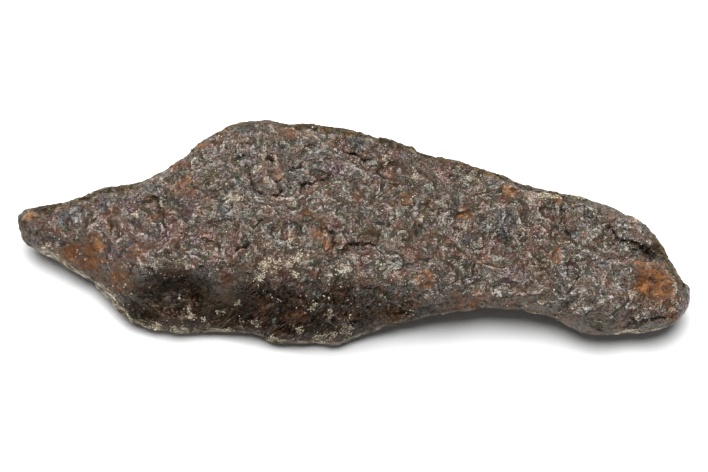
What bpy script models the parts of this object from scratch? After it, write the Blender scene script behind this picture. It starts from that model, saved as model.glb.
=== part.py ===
"""Iron meteorite: one torn, flattened sliver of nickel-iron, lying on its flat side.

It is a single solid. +X runs along the sliver to its round end, +Y to its back edge and
+Z up. The origin is on the surface it rests on, under the middle of its box.
Sizes are in millimetres, and MM turns them into Blender's metres. The points below share one
drawing frame, whose middle lies a fraction of a millimetre from the finished stone's origin.
"""

import math

import bpy
import numpy as np
from mathutils import Vector, noise

MM = 0.001

# The girdle is the widest line round the stone, seen from above, from its pointed left end
# to its round right end. Each point is (x, y, height over the floor).
BACK_EDGE = [
    (-33.9, 2.0, 3.2), (-33.3, 3.2, 3.5), (-31.5, 3.5, 3.7), (-28.7, 3.8, 4.0), (-26.0, 4.4, 4.4),
    (-25.1, 4.9, 4.6), (-23.5, 5.1, 4.8), (-20.9, 5.3, 5.2), (-19.4, 6.2, 5.5), (-16.8, 8.0, 6.0),
    (-14.6, 10.0, 6.3), (-12.6, 11.1, 6.5), (-11.2, 11.4, 6.6), (-7.7, 11.3, 6.8), (-3.4, 11.0, 6.8),
    (-1.2, 10.7, 6.8), (2.1, 9.9, 6.7), (4.4, 9.3, 6.6), (6.8, 8.3, 6.5), (8.2, 8.2, 6.4),
    (10.1, 7.3, 6.2), (12.7, 6.4, 6.0), (15.8, 5.4, 5.7), (18.5, 4.4, 5.4), (20.4, 4.1, 5.2),
    (22.3, 4.1, 5.1), (24.7, 3.2, 4.8), (28.4, 1.4, 4.3), (30.0, 0.0, 4.0), (31.1, -1.8, 3.8),
    (32.5, -4.5, 3.4), (33.4, -6.2, 3.1),
]
FRONT_EDGE = [
    (-33.9, 2.0, 3.2), (-33.2, 0.2, 2.9), (-30.3, -1.9, 2.5), (-28.3, -3.2, 2.3), (-25.7, -5.2, 2.0),
    (-23.4, -7.7, 1.6), (-22.4, -8.6, 1.4), (-20.9, -9.2, 1.2), (-17.5, -9.8, 1.0), (-12.8, -9.2, 1.1),
    (-9.9, -9.6, 1.0), (-6.9, -10.4, 0.9), (-4.2, -10.5, 0.9), (-1.9, -10.7, 1.0), (-0.2, -10.4, 1.4),
    (3.3, -9.3, 2.0), (7.2, -8.7, 3.2), (9.5, -8.8, 3.8), (14.6, -8.4, 4.0), (18.2, -8.7, 3.6),
    (22.0, -10.0, 2.8), (23.8, -10.5, 2.6), (26.9, -10.4, 2.6), (30.0, -10.0, 2.8), (32.0, -9.1, 3.0),
    (33.0, -7.7, 3.1), (33.4, -6.2, 3.1),
]

# The crest and the keel are the highest and the lowest line along the stone.
# The keel runs below the floor where the stone's flat resting spot is cut.
CREST = [
    (-33.9, 2.0, 3.2), (-33.5, 1.9, 4.0), (-31.0, 1.0, 5.0), (-27.4, -0.7, 5.9), (-24.4, -3.0, 6.9),
    (-21.0, -4.6, 7.9), (-16.0, -5.3, 8.6), (-11.9, -5.9, 9.0), (-8.0, -7.0, 9.0), (-4.0, -7.6, 8.7),
    (0.0, -7.4, 8.2), (5.0, -5.6, 7.8), (10.0, -3.4, 7.4), (16.0, -2.6, 7.0), (22.0, -3.4, 6.5),
    (28.0, -4.4, 6.0), (32.0, -5.8, 5.1), (33.2, -6.1, 4.1), (33.4, -6.2, 3.1),
]
KEEL = [
    (-33.9, 2.0, 3.2), (-33.5, 1.8, 2.5), (-31.0, 1.4, 2.1), (-26.0, 0.2, 1.8), (-20.0, -1.6, 1.0),
    (-14.0, -1.6, 0.1), (-9.0, -1.2, -0.5), (-3.0, -1.0, -0.6), (3.0, -0.8, -0.1), (8.0, -0.8, 0.9),
    (13.0, -1.6, 1.9), (20.0, -2.6, 1.7), (26.0, -3.8, 0.9), (31.0, -5.0, 1.3), (33.2, -6.0, 2.3),
    (33.4, -6.2, 3.1),
]

# How full each quarter of a cross-section is, as (x, fullness): 1 is a straight chamfer,
# 2 is an ellipse, and 4 is nearly square.
TOP_BACK_FULLNESS = [(-34, 2.0), (-26, 2.4), (-14, 3.0), (20, 3.0), (34, 2.2)]
TOP_FRONT_FULLNESS = [(-34, 1.7), (-26, 1.5), (-20, 1.3), (-8, 1.5), (0, 2.0), (8, 3.2), (34, 2.6)]
UNDER_BACK_FULLNESS = [(-34, 1.8), (-14, 1.5), (20, 1.8), (34, 1.8)]
UNDER_FRONT_FULLNESS = [(-34, 1.8), (-14, 1.7), (20, 1.8), (34, 1.8)]

STATIONS = 200
POINTS_PER_QUARTER = 24
END_CROWDING = 0.7
SPLINE_STEPS = 24
FORMING_GRID = 0.26

LUMP_SIZE = 8.0
LUMP_HEIGHT = 0.45
THUMBPRINT_SIZE = 4.4
THUMBPRINT_DEPTH = 0.34
NODULE_SIZE = 1.9
NODULE_HEIGHT = 0.16
UNDERSIDE_CALM = 0.5

# Steps on the top where a sheet of crust ends: (drop, its line seen from above). The ground
# on the right of the line, walking along it, is the lower one.
LEDGES = [
    (0.42, [(-0.4, 4.4), (-1.9, 3.6), (-3.4, 2.9), (-5.3, 1.9), (-6.5, 1.5), (-9.1, 0.9)]),
    (0.42, [(-9.1, 0.9), (-11.5, 1.9), (-12.1, 4.7), (-10.9, 6.5), (-9.2, 8.4)]),
    (0.36, [(-2.3, 7.9), (1.0, 6.4), (2.6, 6.3), (4.1, 7.3)]),
    (0.32, [(20.8, 2.2), (20.9, -0.3), (21.3, -2.4)]),
    (0.32, [(22.5, -5.0), (21.4, -6.6), (20.8, -7.9)]),
    (0.42, [(25.1, 0.1), (26.1, -1.3), (27.9, -2.1), (29.1, -2.6), (29.4, -3.7)]),
    (0.38, [(32.2, -8.1), (31.6, -8.9), (30.2, -9.2), (28.3, -9.4), (26.8, -9.9)]),
]
LEDGE_REACH = 2.4
LEDGE_SLOPE = 0.35

# Furrows and, with a negative depth, ridges: (width, depth, points along the surface).
FURROWS = [
    (1.6, 0.40, [(-19.7, 2.8, 7.4), (-19.5, 0.2, 8.0), (-19.3, -1.7, 8.4), (-18.5, -3.6, 8.5)]),
    (1.4, 0.30, [(-25.0, 3.0, 6.2), (-24.2, 1.6, 6.7), (-23.6, 0.0, 7.1)]),
    (1.5, 0.75, [(-27.3, -4.0, 3.2), (-25.4, -5.6, 3.4), (-23.6, -7.1, 3.4), (-21.6, -8.5, 3.0), (-19.2, -9.3, 2.4)]),
    (1.7, -0.40, [(-22.3, -7.2, 5.0), (-20.0, -6.2, 7.2), (-18.0, -5.6, 8.2), (-15.0, -5.4, 8.8), (-11.5, -5.5, 9.1)]),
]

# Dents: (depth, middle, half sizes). The largest is the smooth spoon-shaped hollow in the
# front flank.
DENTS = [
    (1.50, (-17.4, -7.6, 5.6), (4.3, 3.0, 3.4)),
    (0.60, (-11.6, -8.6, 5.0), (4.0, 3.0, 3.0)),
    (0.45, (-7.4, -9.6, 4.0), (2.6, 2.4, 2.6)),
    (0.35, (-8.8, 4.2, 9.0), (3.2, 3.4, 2.4)),
    (0.50, (-30.9, 2.0, 5.0), (1.1, 0.9, 1.0)),
    (0.55, (-30.6, -0.9, 4.2), (0.9, 0.9, 0.9)),
    (0.40, (3.8, 3.2, 8.2), (1.6, 1.2, 1.4)),
    (0.30, (11.4, -6.6, 7.0), (1.2, 1.0, 1.2)),
    (0.50, (28.7, -3.0, 6.1), (1.3, 1.0, 1.2)),
    (0.40, (30.0, -2.1, 5.6), (0.9, 0.9, 0.9)),
    (0.50, (14.0, -3.0, 7.2), (4.5, 2.6, 2.4)),
    (0.40, (25.0, -6.0, 6.2), (2.4, 2.2, 2.0)),
    (0.45, (-23.0, 3.6, 6.6), (2.2, 2.0, 2.0)),
]

TRIANGLES = 9400
CUTTER_SIDE = 120.0
CUTTER_DEPTH = 20.0

IRON_COLOUR = (0.115, 0.096, 0.078, 1.0)
IRON_ROUGHNESS = 0.5
IRON_METALLIC = 0.35


def spline(points):
    """A smooth closed curve through the points, whose corners stay tight where points are close."""
    points = np.array(points, float)
    knots = len(points)
    curve = []
    for i in range(knots):
        before, start, end, after = (points[(i + k) % knots] for k in (-1, 0, 1, 2))
        spans = [math.sqrt(np.linalg.norm(b - a)) for a, b in ((before, start), (start, end), (end, after))]
        leave = (start - before) / spans[0] - (end - before) / (spans[0] + spans[1]) + (end - start) / spans[1]
        arrive = (end - start) / spans[1] - (after - start) / (spans[1] + spans[2]) + (after - end) / spans[2]
        leave, arrive = leave * spans[1], arrive * spans[1]
        for step in range(SPLINE_STEPS):
            t = step / SPLINE_STEPS
            curve.append(
                (2 * t**3 - 3 * t**2 + 1) * start
                + (t**3 - 2 * t**2 + t) * leave
                + (3 * t**2 - 2 * t**3) * end
                + (t**3 - t**2) * arrive
            )
    return np.array(curve)


def rails(upper, lower):
    """The two lines of one closed loop, each from its left end to its right end."""
    curve = spline(upper + lower[-2:0:-1])
    curve = np.roll(curve, -int(curve[:, 0].argmin()), axis=0)
    right = int(curve[:, 0].argmax())
    return curve[: right + 1], np.vstack([curve[right:], curve[:1]])[::-1]


def read(rail, x):
    """(y, height) of a rail at each x."""
    along = np.maximum.accumulate(rail[:, 0])
    return np.interp(x, along, rail[:, 1]), np.interp(x, along, rail[:, 2])


def station_places(left, right):
    """Where the cross-sections stand: closer together towards the two ends."""
    t = np.linspace(0, 1, STATIONS + 1)[1:-1]
    crowded = (1 - np.cos(math.pi * t)) / 2
    return left + (right - left) * (END_CROWDING * crowded + (1 - END_CROWDING) * t)


def quarter(edge, middle, fullness, x):
    """One quarter of every cross-section, a superellipse from the girdle to the crest or keel."""
    power = 2 / np.interp(x, *np.array(fullness, float).T)[:, None]
    turn = np.linspace(0, math.pi / 2, POINTS_PER_QUARTER + 1)[None, :]
    inwards = 1 - np.cos(turn).clip(0, 1) ** power
    rise = np.sin(turn).clip(0, 1) ** power
    y = edge[0][:, None] + (middle[0] - edge[0])[:, None] * inwards
    z = edge[1][:, None] + (middle[1] - edge[1])[:, None] * rise
    return np.dstack([y, z])


def cross_sections():
    """(ring of points for each station, the two end points)."""
    back, front = rails(BACK_EDGE, FRONT_EDGE)
    crest, keel = rails(CREST, KEEL)
    left, right = back[0], back[-1]
    x = station_places(left[0], right[0])
    back_at, front_at, crest_at, keel_at = (read(rail, x) for rail in (back, front, crest, keel))
    rings = np.concatenate(
        [
            quarter(back_at, crest_at, TOP_BACK_FULLNESS, x)[:, :-1],
            quarter(front_at, crest_at, TOP_FRONT_FULLNESS, x)[:, :0:-1],
            quarter(front_at, keel_at, UNDER_FRONT_FULLNESS, x)[:, :-1],
            quarter(back_at, keel_at, UNDER_BACK_FULLNESS, x)[:, :0:-1],
        ],
        axis=1,
    )
    x = np.repeat(x[:, None], rings.shape[1], axis=1)
    return np.dstack([x, rings]), left, right


def bare_form():
    """The sliver without lumps, closed at both ends, as a mesh in millimetres."""
    rings, left, right = cross_sections()
    count, around = rings.shape[:2]
    points = np.vstack([rings.reshape(-1, 3), left, right])
    first, last = count * around, count * around + 1
    end = (count - 1) * around
    faces = []
    for j in range(around):
        k = (j + 1) % around
        faces.append((first, j, k))
        faces.append((last, end + k, end + j))
        for i in range(0, end, around):
            faces.append((i + j, i + around + j, i + around + k, i + k))
    mesh = bpy.data.meshes.new("bare_form")
    mesh.from_pydata(points.tolist(), [], faces)
    return mesh


def evenly_meshed(mesh):
    """The same form with vertices at an even distance from each other."""
    form = bpy.data.objects.new(mesh.name, mesh)
    bpy.context.scene.collection.objects.link(form)
    remesh = form.modifiers.new("even", "REMESH")
    remesh.mode = "VOXEL"
    remesh.voxel_size = FORMING_GRID
    even = bpy.data.meshes.new_from_object(form.evaluated_get(bpy.context.evaluated_depsgraph_get()))
    bpy.data.objects.remove(form)
    return even


def smooth_step(value):
    value = value.clip(0, 1)
    return value * value * (3 - 2 * value)


def nearest_on_line(points, line):
    """(distance to a line of straight runs, share of its length there, side of it seen from above)."""
    line = np.array(line, float)
    lengths = np.linalg.norm(np.diff(line, axis=0), axis=1)
    starts = np.concatenate([[0], np.cumsum(lengths)])
    best = np.full(len(points), np.inf)
    share, side = np.zeros(len(points)), np.ones(len(points))
    for a, b, length, start in zip(line, line[1:], lengths, starts):
        way = (b - a) / length
        along = ((points - a) @ way).clip(0, length)
        away = points - a - along[:, None] * way
        distance = np.linalg.norm(away, axis=1)
        closer = distance < best
        best[closer] = distance[closer]
        share[closer] = ((start + along) / starts[-1])[closer]
        side[closer] = np.sign(way[0] * away[:, 1] - way[1] * away[:, 0])[closer]
    return best, share, side


def ledges(points, normals):
    """How far the ledges lower each point."""
    fall = np.zeros(len(points))
    facing_up = smooth_step(normals[:, 2] / 0.6)
    for drop, line in LEDGES:
        distance, share, side = nearest_on_line(points[:, :2], line)
        edge = smooth_step((LEDGE_SLOPE - side * distance) / (2 * LEDGE_SLOPE))
        ends = smooth_step(share * 5) * smooth_step((1 - share) * 5)
        fall += drop * edge * np.exp(-distance / LEDGE_REACH) * ends * facing_up
    return fall


def furrows(points):
    fall = np.zeros(len(points))
    for width, depth, line in FURROWS:
        distance, share, _ = nearest_on_line(points, line)
        ends = smooth_step(share * 6) * smooth_step((1 - share) * 6)
        fall += depth * smooth_step(1 - distance / width) * (0.3 + 0.7 * ends)
    return fall


def dents(points):
    fall = np.zeros(len(points))
    for depth, middle, half_sizes in DENTS:
        reach = np.linalg.norm((points - middle) / half_sizes, axis=1)
        fall += depth * smooth_step(1.25 * (1 - reach))
    return fall


def lumps(points, size, octaves):
    """Soft swellings and hollows of about one size, with smaller ones on them."""
    places = [Vector(point) / size for point in points]
    return np.array([noise.fractal(p, 0.9, 2.1, octaves, noise_basis="PERLIN_ORIGINAL") for p in places])


def thumbprints(points):
    """Shallow rounded dents that meet in low ridges: 1 in the middle of each and 0 between them."""
    shift = Vector((3.1, 7.7, 1.3))
    nearest = np.array([noise.voronoi(Vector(p) / THUMBPRINT_SIZE + shift)[0][0] for p in points])
    return 1 - smooth_step(nearest / 0.6)


def weathered(mesh):
    """The even form with its lumps, dents, furrows and ledges, centred and turned into metres."""
    count = len(mesh.vertices)
    points, normals = np.empty(count * 3, np.float32), np.empty(count * 3, np.float32)
    mesh.vertices.foreach_get("co", points)
    mesh.vertices.foreach_get("normal", normals)
    points, normals = points.reshape(-1, 3).astype(float), normals.reshape(-1, 3).astype(float)
    calm = 1 - (1 - UNDERSIDE_CALM) * smooth_step(-normals[:, 2] / 0.5)
    rough = LUMP_HEIGHT * lumps(points, LUMP_SIZE, 3) + NODULE_HEIGHT * lumps(points, NODULE_SIZE, 1)
    rough -= THUMBPRINT_DEPTH * thumbprints(points)
    rise = rough * calm - dents(points) - furrows(points) - ledges(points, normals)
    points += normals * rise[:, None]
    points[:, :2] -= (points[:, :2].min(0) + points[:, :2].max(0)) / 2
    mesh.vertices.foreach_set("co", (points * MM).astype(np.float32).ravel())
    mesh.update()
    mesh.name = "meteorite"
    return mesh


def iron_material():
    material = bpy.data.materials.new("weathered_iron")
    material.use_nodes = True
    shader = material.node_tree.nodes["Principled BSDF"]
    shader.inputs["Base Color"].default_value = IRON_COLOUR
    shader.inputs["Roughness"].default_value = IRON_ROUGHNESS
    shader.inputs["Metallic"].default_value = IRON_METALLIC
    return material


def floor_cutter():
    """A block whose top is the floor. It cuts the stone's flat resting spot."""
    half, deep = CUTTER_SIDE / 2 * MM, CUTTER_DEPTH * MM
    mesh = bpy.data.meshes.new("floor_cutter")
    corners = [(x, y, z) for z in (-deep, 0.0) for y in (-half, half) for x in (-half, half)]
    faces = [(0, 2, 3, 1), (4, 5, 7, 6), (0, 1, 5, 4), (2, 6, 7, 3), (0, 4, 6, 2), (1, 3, 7, 5)]
    mesh.from_pydata(corners, [], faces)
    cutter = bpy.data.objects.new("floor_cutter", mesh)
    cutter.hide_render = True
    cutter.display_type = "WIRE"
    bpy.context.scene.collection.objects.link(cutter)
    return cutter


def meteorite():
    mesh = weathered(evenly_meshed(bare_form()))
    mesh.materials.clear()
    mesh.materials.append(iron_material())
    mesh.shade_smooth()
    stone = bpy.data.objects.new("meteorite", mesh)
    bpy.context.scene.collection.objects.link(stone)
    thin = stone.modifiers.new("fewer_facets", "DECIMATE")
    thin.ratio = TRIANGLES / sum(len(face.vertices) - 2 for face in mesh.polygons)
    rest = stone.modifiers.new("resting_spot", "BOOLEAN")
    rest.operation = "DIFFERENCE"
    rest.solver = "EXACT"
    rest.object = floor_cutter()
    return stone


for old in list(bpy.data.objects):
    bpy.data.objects.remove(old)
meteorite()
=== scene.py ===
"""The looks of the iron meteorite: its weathered crust, the pale crumbs in it, and a plain studio."""

import math
from types import SimpleNamespace

import bmesh
import bpy
import numpy as np
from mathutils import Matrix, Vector, noise


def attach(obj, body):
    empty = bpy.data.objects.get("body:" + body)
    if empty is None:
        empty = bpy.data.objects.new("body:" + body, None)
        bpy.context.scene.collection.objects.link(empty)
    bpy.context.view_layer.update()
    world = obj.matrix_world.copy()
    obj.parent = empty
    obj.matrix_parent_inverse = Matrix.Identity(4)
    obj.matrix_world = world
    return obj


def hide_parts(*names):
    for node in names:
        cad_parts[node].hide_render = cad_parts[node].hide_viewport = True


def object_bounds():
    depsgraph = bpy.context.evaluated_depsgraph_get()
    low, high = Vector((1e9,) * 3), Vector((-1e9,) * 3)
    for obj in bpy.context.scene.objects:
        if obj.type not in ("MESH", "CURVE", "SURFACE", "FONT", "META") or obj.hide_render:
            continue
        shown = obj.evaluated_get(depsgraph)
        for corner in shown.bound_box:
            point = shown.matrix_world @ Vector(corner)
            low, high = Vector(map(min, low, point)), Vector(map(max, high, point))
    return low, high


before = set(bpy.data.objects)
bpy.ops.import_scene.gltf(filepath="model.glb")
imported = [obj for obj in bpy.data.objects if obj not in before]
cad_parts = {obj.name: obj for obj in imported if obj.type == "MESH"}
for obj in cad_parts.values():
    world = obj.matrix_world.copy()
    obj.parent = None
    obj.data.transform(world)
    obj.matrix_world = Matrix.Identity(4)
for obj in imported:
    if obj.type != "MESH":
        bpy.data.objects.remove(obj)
cad_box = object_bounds()


# The stone
# One torn sliver of nickel-iron, rusted and polished by desert wind. Its skin is a thin, hard crust
# of oxide that grew on the metal in overlapping sheets, with pits between them.

# Sizes are in millimetres. The CAD form is meshed finely, and the relief is pushed into it.
MM = 0.001
BOX_GAP = 0.005
SKIN_GRID = 0.19
SKIN_SMOOTHING = 4

# The relief: ledges where broad sheets end, wrinkles of three sizes and heights, small flakes,
# pits and plates of crust that are missing, and streaks combed one way.
SHEET_SIZE = 5.5
SHEET_STEP = 0.14
SHEETS_PER_SWING = 3.0
LEDGE_WIDTH = 0.08
WRINKLES = ((2.6, 0.16), (1.1, 0.09), (0.55, 0.05))
WARP = 0.5
WARP_SIZE = 2.2
FLAKE_SIZE = 0.5
FLAKE_TILT = 0.16
PLATE_SIZE = 2.3
PIT_SIZE = 0.06
PIT_VARIETY = 0.12
PIT_DEPTH = 0.13
STREAK_DIRECTION = (0.68, 0.31, 0.66)
STREAK_SIZE = 0.55
STREAK_STRETCH = 6.0
STREAK_HEIGHT = 0.07

# The share of the relief that is missing at the back edge, the lower edge, in the hollow and in streaks.
CALM_BACK = 0.4
CALM_RIM = 0.7
CALM_HOLLOW = 0.7
CALM_STREAKS = 0.6

# Zones of the skin, each as ellipsoids with a middle and half sizes.
HOLLOW = [((-17.3, -8.0, 5.2), (4.6, 2.8, 3.2)), ((-12.6, -8.6, 5.4), (2.6, 2.2, 2.2))]
STREAKED = [((-8.5, -9.2, 5.0), (7.5, 3.6, 4.2))]
# Zones with more pale polished grains: a painted sheen on the top and on the round end.
PAINTED_SHEEN_ZONES = [((-8.0, 4.5, 8.3), (7.0, 4.5, 3.0)), ((25.0, -5.5, 5.8), (4.5, 3.5, 3.0))]
# Zones of painted shade: the front flank and the hollow in it, which face away from the light, and a
# crease at the round end.
PAINTED_SHADE_ZONES = [
    ((-17.0, -7.8, 5.0), (5.0, 2.8, 3.4)), ((-9.0, -9.4, 4.0), (11.0, 2.8, 4.6)),
    ((2.0, -9.4, 3.6), (8.0, 1.8, 3.0)), ((-18.5, -9.2, 2.6), (5.5, 2.2, 2.6)),
    ((-1.0, -9.0, 5.6), (6.0, 2.2, 2.6)), ((29.6, -2.9, 5.9), (1.1, 0.6, 1.0)),
]
ZONE_FADE = 0.6

# Broad swells and dents of the worn back edge, as a rise and its ellipsoid.
SWELLS = [
    (0.45, ((28.6, -0.7, 5.0), (2.4, 1.8, 1.8))),
    (-0.40, ((-21.8, 4.8, 5.9), (2.4, 1.8, 1.8))),
    (0.25, ((-14.9, 8.4, 7.0), (1.4, 1.4, 1.8))),
    (0.30, ((-32.6, 1.6, 4.0), (0.9, 1.0, 1.4))),
]
SWELL_FADE = 0.8

# The worn edge along the back, from the tip to the round end, where its colour carries a little painted
# shade as it turns away from the light.
BACK_RIM = [
    (-33.2, 1.0, 3.6), (-31.3, 2.5, 4.2), (-27.2, 3.2, 5.2), (-22.7, 4.6, 5.7), (-18.7, 5.9, 6.3),
    (-15.2, 8.6, 7.0), (-12.1, 10.4, 7.4), (-5.2, 10.4, 7.5), (0.8, 9.8, 7.1), (4.8, 8.4, 6.9),
    (9.8, 7.0, 6.3), (15.8, 4.8, 6.2), (18.8, 3.8, 5.9), (23.0, 3.2, 5.4), (27.3, 1.8, 5.0),
    (30.1, -1.2, 4.8), (32.4, -6.0, 4.6),
]
BACK_RIM_REACH = 0.8

# How that edge is evened, in columns along the stone. BACKWARD points up in the camera's view.
BACKWARD = (0, 0.883, 0.469)
EDGE_COLUMN = 0.25
EDGE_WAVE = 0.35
EDGE_EVENING = 1.2
EDGE_DEPTH = 3.0
EDGE_OUT = 0.09

# The lower edge along the front, where fibres of olive and cream crust show; the pale band there is
# partly painted light bounced up from the table. Left of RIM_FRAY the band of fibres widens, over
# RIM_FRAYING, from its first reach to its second.
RIM = [
    (-30.6, -1.2, 2.8), (-29.2, -2.7, 2.6), (-26.6, -4.8, 2.3), (-24.1, -6.6, 2.1), (-22.1, -8.9, 1.5),
    (-18.1, -9.8, 1.1), (-14.5, -9.6, 1.2), (-11.1, -9.8, 1.4), (-5.1, -11.0, 1.5), (-1.2, -11.0, 1.1),
    (4.7, -9.4, 2.7), (9.5, -8.9, 3.4), (16.0, -8.6, 3.6), (21.0, -9.6, 3.0), (24.5, -10.6, 2.4),
    (30.4, -10.2, 2.8), (33.0, -7.4, 3.0),
]
RIM_REACH = (0.42, 0.85)
RIM_FRAY = -12.0
RIM_FRAYING = 6

# Edges of torn crust sheets on the top, each as its share of TEAR_FALL and the line it follows, seen
# from above. The side to the right of the line, walking along it, has lost its sheet.
TORN_SHEETS = [
    (0.20, [(-9.7, 5.8), (-10.2, 5.0), (-9.9, 3.3), (-8.9, 2.3), (-7.4, 2.3), (-6.5, 3.2), (-6.2, 3.9)]),
    (0.18, [(-6.5, 5.1), (-5.8, 5.4), (-4.8, 5.4)]),
    (0.16, [(-7.9, 3.7), (-6.6, 4.2)]),
    (0.16, [(-8.6, 6.2), (-7.6, 6.4)]),
    (0.20, [(-5.4, 2.9), (-4.0, 3.6), (-3.1, 4.0), (-1.8, 4.5)]),
    (0.20, [(2.9, 6.4), (1.2, 6.3), (-0.6, 7.2), (-2.2, 8.1)]),
    (0.16, [(-8.8, -0.8), (-9.2, -1.6), (-9.5, -2.4)]),
    (0.22, [(-3.9, -1.6), (-2.1, -2.2), (-1.3, -3.4), (-1.9, -4.4), (-3.4, -4.6)]),
    (0.18, [(-0.9, -3.5), (1.2, -3.1), (2.9, -3.3)]),
    (0.18, [(-11.5, -4.9), (-11.0, -4.2), (-9.8, -3.9)]),
    (0.22, [(20.9, 2.1), (21.2, -0.3), (21.7, -2.5)]),
    (0.20, [(22.9, -5.2), (21.6, -6.9), (20.9, -8.4)]),
    (0.24, [(25.2, 0.1), (26.3, -1.5), (28.2, -2.2), (29.4, -2.7), (29.7, -4.1)]),
    (0.20, [(32.4, -8.6), (31.7, -9.5), (30.3, -9.9), (28.5, -10.1), (26.9, -10.5)]),
]
TEAR_FALL = 1.4
TEAR_SLOPE = 0.14
TEAR_REACH = 1.1
TEAR_WANDER = 0.45
TEAR_WANDER_SIZE = 0.9
CRACK_OFFSET = 0.10
CRACK_REACH = 0.16


def smooth_step(value):
    """0 below 0, 1 above 1, and eased in between."""
    value = np.clip(value, 0, 1)
    return value * value * (3 - 2 * value)


def near_zone(points, zones, fade=0.35):
    """1 inside the ellipsoids, falling to 0 outside them."""
    inside = np.zeros(len(points))
    for middle, half_sizes in zones:
        reach = np.linalg.norm((points - middle) / half_sizes, axis=1)
        inside = np.maximum(inside, smooth_step((1 + fade - reach) / (2 * fade)))
    return inside


def perlin(points, size, shift=0.0):
    """Smooth noise at each point, from about -1 to 1. Each shift gives another noise."""
    lift = Vector((shift, shift, shift))
    return np.array([noise.noise(Vector(p) / size + lift) for p in points])


def cloud(points, size, octaves, shift=0.0):
    """Noise with smaller noises on it."""
    lift = Vector((shift, shift, shift))
    return np.array([noise.fractal(Vector(p) / size + lift, 0.9, 2.1, octaves) for p in points])


def pits(points):
    """1 in the pit at the middle of each plate of crust, and on plates that are missing, else 0."""
    depth = []
    for point in points:
        distances, places = noise.voronoi(Vector(point) / PLATE_SIZE)
        # The cell noise runs from -1 to 1, and a size below 0 makes the whole plate a pit.
        size = PIT_SIZE + PIT_VARIETY * noise.cell(places[0] * 7.3)
        depth.append(1 - distances[0] / size)
    return smooth_step(np.array(depth))


def flakes(points):
    """Small scales of crust that meet at sharp creases, each with a tilt of its own."""
    rise = []
    for point in points:
        place = Vector(point) / FLAKE_SIZE
        middle = noise.voronoi(place)[1][0]
        rise.append((place - middle).dot(noise.cell_vector(middle * 5.1)))
    return np.array(rise) * FLAKE_SIZE * FLAKE_TILT


def creased(values):
    """Noise turned into sharp ridges with smooth dips between them."""
    return 0.6 - 3 * np.abs(values)


def beside_line(points, line):
    """(distance from a line of straight runs, share of its length there, side of it), from above."""
    line = np.array(line, float)
    lengths = np.linalg.norm(np.diff(line, axis=0), axis=1)
    starts = np.concatenate([[0], np.cumsum(lengths)])
    best = np.full(len(points), np.inf)
    share, side = np.zeros(len(points)), np.ones(len(points))
    for a, b, length, start in zip(line, line[1:], lengths, starts):
        way = (b - a) / length
        along = ((points - a) @ way).clip(0, length)
        away = points - a - along[:, None] * way
        distance = np.linalg.norm(away, axis=1)
        closer = distance < best
        best[closer] = distance[closer]
        share[closer] = ((start + along) / starts[-1])[closer]
        side[closer] = np.sign(way[0] * away[:, 1] - way[1] * away[:, 0])[closer]
    return best, share, side


def tears(points, normals):
    """(how far the torn sheets lower each point, how deep it lies in a crack where shade is painted,
    from 0 to 1).
    """
    fall, crack = np.zeros(len(points)), np.zeros(len(points))
    facing_up = smooth_step(normals[:, 2] / 0.5)
    wander = perlin(points, TEAR_WANDER_SIZE, 51.0) * TEAR_WANDER
    for share_of_fall, line in TORN_SHEETS:
        distance, share, side = beside_line(points[:, :2], line)
        signed = side * distance + wander
        edge = smooth_step((TEAR_SLOPE - signed) / (2 * TEAR_SLOPE))
        ends = smooth_step(share * 5) * smooth_step((1 - share) * 5) * facing_up
        fall += TEAR_FALL * share_of_fall * edge * np.exp(-np.abs(signed) / TEAR_REACH) * ends
        gape = smooth_step(1.3 - np.abs(signed + CRACK_OFFSET) / CRACK_REACH)
        crack = np.maximum(crack, gape * ends)
    return fall, crack


def near_line(points, line):
    """Distance of each point from a line of straight runs."""
    line = np.array(line, float)
    best = np.full(len(points), np.inf)
    for a, b in zip(line, line[1:]):
        length = np.linalg.norm(b - a)
        way = (b - a) / length
        along = ((points - a) @ way).clip(0, length)
        best = np.minimum(best, np.linalg.norm(points - a - along[:, None] * way, axis=1))
    return best


def fine_skin():
    """The CAD stone, its loose triangles merged, meshed again with an even, fine grid."""
    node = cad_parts["meteorite"]
    shape = bmesh.new()
    shape.from_mesh(node.data)
    bmesh.ops.remove_doubles(shape, verts=shape.verts, dist=0.001 * MM)
    mesh = bpy.data.meshes.new("stone_form")
    shape.to_mesh(mesh)
    shape.free()
    form = bpy.data.objects.new("stone_form", mesh)
    bpy.context.scene.collection.objects.link(form)
    remesh = form.modifiers.new("grid", "REMESH")
    remesh.mode = "VOXEL"
    remesh.voxel_size = SKIN_GRID * MM
    soften = form.modifiers.new("soften", "SMOOTH")
    soften.factor = 0.5
    soften.iterations = SKIN_SMOOTHING
    finished = form.evaluated_get(bpy.context.evaluated_depsgraph_get())
    skin = bpy.data.meshes.new_from_object(finished)
    bpy.data.objects.remove(form)
    return skin


def read_skin(mesh):
    """(points in millimetres, normals) of a mesh."""
    points = np.empty(len(mesh.vertices) * 3, np.float32)
    normals = np.empty(len(mesh.vertices) * 3, np.float32)
    mesh.vertices.foreach_get("co", points)
    mesh.vertices.foreach_get("normal", normals)
    return points.reshape(-1, 3).astype(float) / MM, normals.reshape(-1, 3).astype(float)


def averaged(values, width):
    """Values along the edge, one per column, each averaged with its neighbours over a width."""
    reach = int(3 * width / EDGE_COLUMN)
    weights = np.exp(-((np.arange(-reach, reach + 1) * EDGE_COLUMN / width) ** 2) / 2)
    before = 2 * values[0] - values[reach:0:-1]
    after = 2 * values[-1] - values[-2:-reach - 2:-1]
    return np.convolve(np.concatenate([before, values, after]), weights / weights.sum(), "valid")


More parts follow.
